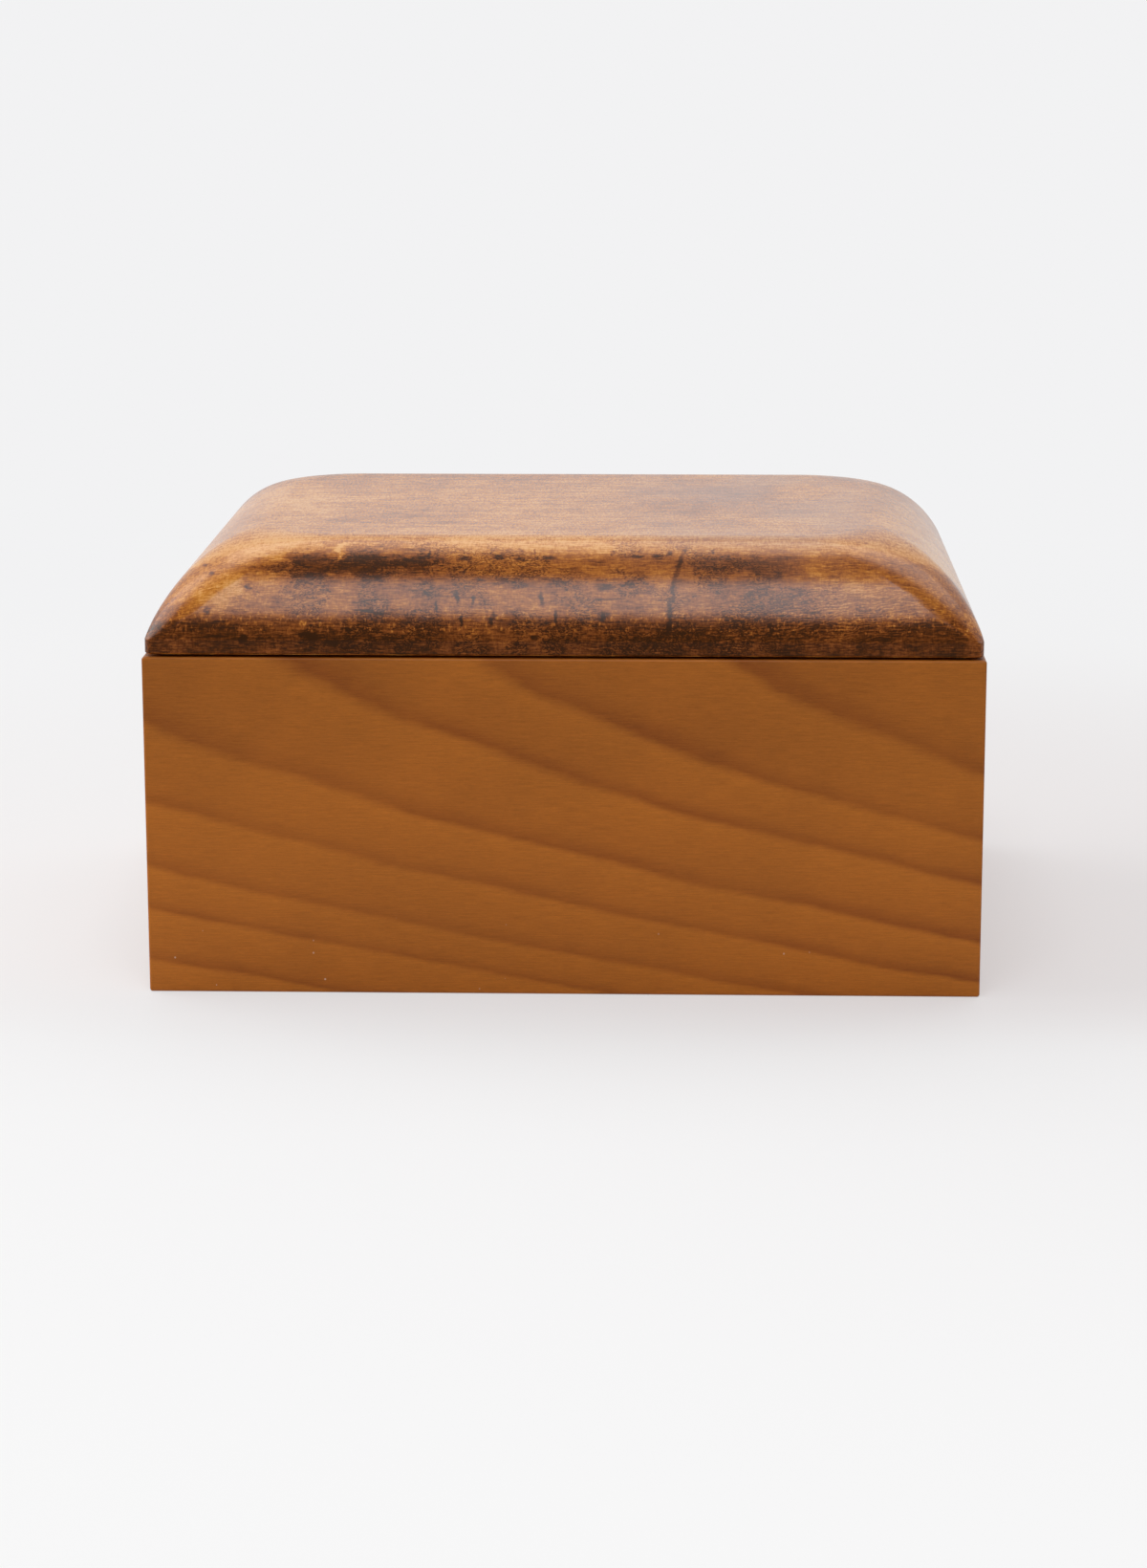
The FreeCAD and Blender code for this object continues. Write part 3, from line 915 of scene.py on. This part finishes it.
def add_pad():
    """Velvet over wadding on card: crowned a little, drawn in between its corners."""
    low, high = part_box("lining_pad")
    half_x = high.x / MM
    half_y = high.y / MM
    foot = low.z / MM
    top = high.z / MM
    across = pad_stations(half_x)
    back = pad_stations(half_y)

    def plan(x, y):
        share_x = x / half_x
        share_y = y / half_y
        pulled_x = x * (1.0 - PAD_DRAW_IN / half_x * (1.0 - share_y**2))
        pulled_y = y * (1.0 - PAD_DRAW_IN / half_y * (1.0 - share_x**2))
        past_x = abs(x) - (half_x - PAD_CORNER)
        past_y = abs(y) - (half_y - PAD_CORNER)
        if past_x > 0.0 and past_y > 0.0:
            reach = max(past_x, past_y) / math.hypot(past_x, past_y)
            pulled_x -= math.copysign(past_x * (1.0 - reach), x)
            pulled_y -= math.copysign(past_y * (1.0 - reach), y)
        return pulled_x, pulled_y

    def height(x, y):
        inside = min(half_x - abs(x), half_y - abs(y))
        rounding = max(0.0, 1.0 - inside / PAD_EDGE_ROUND)
        drop = PAD_EDGE_ROUND * (1.0 - math.sqrt(max(0.0, 1.0 - rounding**2)))
        crown = PAD_CROWN * (1.0 - (1.0 - (x / half_x) ** 4) * (1.0 - (y / half_y) ** 4))
        wave = noise.noise(Vector((x * PAD_RIPPLE_SCALE, y * PAD_RIPPLE_SCALE, 0.4)))
        ripple = PAD_RIPPLE * wave * min(1.0, inside / PAD_RIPPLE_EDGE)
        return top - PAD_RIPPLE - drop - crown + ripple

    points = []
    faces = []
    columns = len(back)
    for x in across:
        for y in back:
            points.append((*plan(x, y), height(x, y)))
    for row in range(len(across) - 1):
        for column in range(columns - 1):
            first = row * columns + column
            faces.append((first, first + columns, first + columns + 1, first + 1))
    last_row = (len(across) - 1) * columns
    border = [row * columns for row in range(len(across))]
    border += [last_row + column for column in range(1, columns)]
    border += [row * columns + columns - 1 for row in range(len(across) - 2, -1, -1)]
    border += [column for column in range(columns - 2, 0, -1)]
    above = border
    for inset, level in PAD_FOOT:
        ring = []
        for corner in border:
            x, y, unused = points[corner]
            ring.append(len(points))
            points.append((x * (1.0 - inset / half_x), y * (1.0 - inset / half_y), foot + level))
        for number in range(len(border)):
            following = (number + 1) % len(border)
            faces.append((above[number], above[following], ring[following], ring[number]))
        above = ring
    faces.append(tuple(reversed(above)))
    pad = new_piece("velvet_pad", points, faces, velvet(), "box", "lining_pad")


# Felt dots: corners round each, and the wear of the edge as share of the radius and as lobes
DOT_SIDES = 40
DOT_WEAR = 0.012
DOT_LOBES = 5.0


def add_dots():
    """Two pressed felt dots under the lid's front corners."""
    low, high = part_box("lid_bumpers")
    radius = (high.y - low.y) / 2.0 / MM
    foot = low.z / MM
    head = high.z / MM
    rings = ((0.86, foot), (0.96, foot + 0.06), (1.0, foot + 0.2), (1.0, head - 0.04), (0.97, head))
    points = []
    faces = []
    for centre_x in (low.x / MM + radius, high.x / MM - radius):
        centre_y = low.y / MM + radius
        start = len(points)
        for share, level in rings:
            for number in range(DOT_SIDES):
                angle = math.tau * number / DOT_SIDES
                lobe = 1.0 + math.sin(DOT_LOBES * angle + centre_x)
                worn = share * (1.0 - DOT_WEAR * lobe)
                x = centre_x + radius * worn * math.cos(angle)
                y = centre_y + radius * worn * math.sin(angle)
                points.append((x, y, level))
        for ring in range(len(rings) - 1):
            for number in range(DOT_SIDES):
                following = (number + 1) % DOT_SIDES
                first = start + ring * DOT_SIDES
                above = first + DOT_SIDES
                faces.append((first + number, first + following, above + following, above + number))
        faces.append(tuple(start + number for number in reversed(range(DOT_SIDES))))
        last = start + (len(rings) - 1) * DOT_SIDES
        faces.append(tuple(last + number for number in range(DOT_SIDES)))
    new_piece("felt_dots", points, faces, felt(), "lid", "lid_bumpers")


def add_camera():
    """Camera at the photograph's place and angle."""
    data = bpy.data.cameras.new("camera")
    data.lens = CAMERA_LENS
    data.sensor_width = SENSOR_LONG_SIDE
    camera = bpy.data.objects.new("camera", data)
    bpy.context.scene.collection.objects.link(camera)
    level = math.cos(CAMERA_PITCH)
    toward_x = math.sin(CAMERA_YAW)
    toward_y = math.cos(CAMERA_YAW)
    ahead = Vector((toward_x * level, toward_y * level, -math.sin(CAMERA_PITCH)))
    right = Vector((toward_y, -toward_x, 0.0))
    up = right.cross(ahead)
    right_rolled = right * math.cos(CAMERA_ROLL) + up * math.sin(CAMERA_ROLL)
    up_rolled = up * math.cos(CAMERA_ROLL) - right * math.sin(CAMERA_ROLL)
    turn = Matrix((right_rolled, up_rolled, -ahead)).transposed()
    camera.matrix_world = Matrix.Translation(CAMERA_PLACE) @ turn.to_4x4()
    bpy.context.scene.camera = camera


def add_world():
    """Pale studio: white backdrop behind the box, dim above it and on the camera's side."""
    world = bpy.data.worlds.new("studio")
    bpy.context.scene.world = world
    world.use_nodes = True
    graph = Graph(world.node_tree)
    for old in list(world.node_tree.nodes):
        world.node_tree.nodes.remove(old)
    way = graph.node("ShaderNodeTexCoord").outputs["Generated"]
    x, y, z = graph.split(way)
    climb = graph.times(graph.maths("ARCTAN2", z, y), 180.0 / math.pi)
    aside = graph.step(graph.maths("ABSOLUTE", x), *BACKDROP_SIDE, 1.0, 0.0)
    backdrop = graph.times(graph.step(climb, *BACKDROP_END, 1.0, 0.0), aside)
    path = graph.node("ShaderNodeLightPath")
    mirrored = graph.mirrored_rays(path)
    reflected = graph.times(mirrored, backdrop, BACKDROP_GLOSS)
    seen = graph.maths("MAXIMUM", path.outputs["Is Camera Ray"], reflected)
    fill = graph.add(graph.times(backdrop, BACKDROP_FILL), ROOM_FILL)
    level = graph.add(fill, graph.times(mirrored, graph.less(ROOM_GLOSS, fill)))
    studio = graph.node("ShaderNodeBackground", {"Color": grey(1.0), "Strength": level})
    plain = graph.node("ShaderNodeBackground", {"Color": BACKGROUND_TONE, "Strength": 1.0})
    both = graph.node("ShaderNodeMixShader", {0: seen, 1: studio.outputs[0], 2: plain.outputs[0]})
    graph.node("ShaderNodeOutputWorld", {"Surface": both.outputs[0]})


def add_lamp(name, place, aim, size, power, colour):
    """Rectangular soft lamp that faces a point."""
    data = bpy.data.lights.new(name, "AREA")
    data.shape = "RECTANGLE"
    data.size, data.size_y = size
    data.energy = power
    data.color = colour
    lamp = bpy.data.objects.new(name, data)
    bpy.context.scene.collection.objects.link(lamp)
    lamp.location = place
    lamp.rotation_mode = "QUATERNION"
    lamp.rotation_quaternion = (Vector(aim) - Vector(place)).to_track_quat("-Z", "Y")


def add_floor():
    """Pale floor that takes the shadow near the box and fades into the background."""
    mesh = bpy.data.meshes.new("floor")
    corners = [(x * FLOOR_REACH, y * FLOOR_REACH, 0.0) for x, y in ((-1, -1), (1, -1), (1, 1), (-1, 1))]
    mesh.from_pydata(corners, [], [(0, 1, 2, 3)])
    floor = bpy.data.objects.new("floor", mesh)
    bpy.context.scene.collection.objects.link(floor)
    material, graph, shader = new_material("pale_floor")
    place = graph.node("ShaderNodeTexCoord").outputs["Object"]
    across, along, unused = graph.split(place)
    away = graph.node("ShaderNodeVectorMath", {0: place}, operation="LENGTH").outputs["Value"]
    path = graph.node("ShaderNodeLightPath")
    mirrored = graph.mirrored_rays(path)
    seen = graph.maths("MAXIMUM", path.outputs["Is Camera Ray"], mirrored)

    forward = graph.times(
        graph.step(along, *FLOOR_FORWARD, 1.0, 0.0),
        graph.step(away, *FLOOR_FORWARD_END, 1.0, 0.0),
    )
    # Painted shade round the box in the plain tone, warm for light bounced off the wood
    painted_floor_shade = graph.times(
        graph.step(away, *FLOOR_SHADE_REACH, 1.0, 0.0),
        graph.step(across, *FLOOR_SHADE_ACROSS, *FLOOR_SHADE),
        graph.step(along, *FLOOR_SHADE_ALONG, FLOOR_SHADE_FRONT, 1.0),
    )
    tone = graph.mix(forward, BACKGROUND_TONE, FRONT_FLOOR_TONE)
    tone = graph.mix(painted_floor_shade, tone, FLOOR_SHADE_TONE)
    unlit = graph.times(graph.step(along, *FLOOR_FRONT, 1.0 - ROOM_GLOSS, 0.0), mirrored)
    plain = graph.node("ShaderNodeEmission", {"Color": tone, "Strength": graph.less(1.0, unlit)})

    paleness = graph.times(graph.step(away, *FLOOR_FADE, FLOOR_PALENESS, 1.0), seen)
    both = graph.node("ShaderNodeMixShader", {0: paleness, 1: shader.outputs[0], 2: plain.outputs[0]})
    output = material.node_tree.nodes["Material Output"]
    graph.feed(output.inputs["Surface"], both.outputs[0])
    shader.inputs["Base Color"].default_value = FLOOR_TONE
    shader.inputs["Roughness"].default_value = 0.9
    shader.inputs["Specular IOR Level"].default_value = 0.1
    floor.data.materials.append(material)


add_camera()
add_world()
add_floor()
for lamp in LAMPS:
    add_lamp(*lamp)

add_body_wood()
add_hidden_wood()
dress("lid_block", lid_wood())
brass = plain_brass()
for node_name in nodes:
    if "hinge" in node_name:
        dress(node_name, brass)
add_pad()
add_dots()

bpy.context.scene.view_settings.view_transform = "Standard"
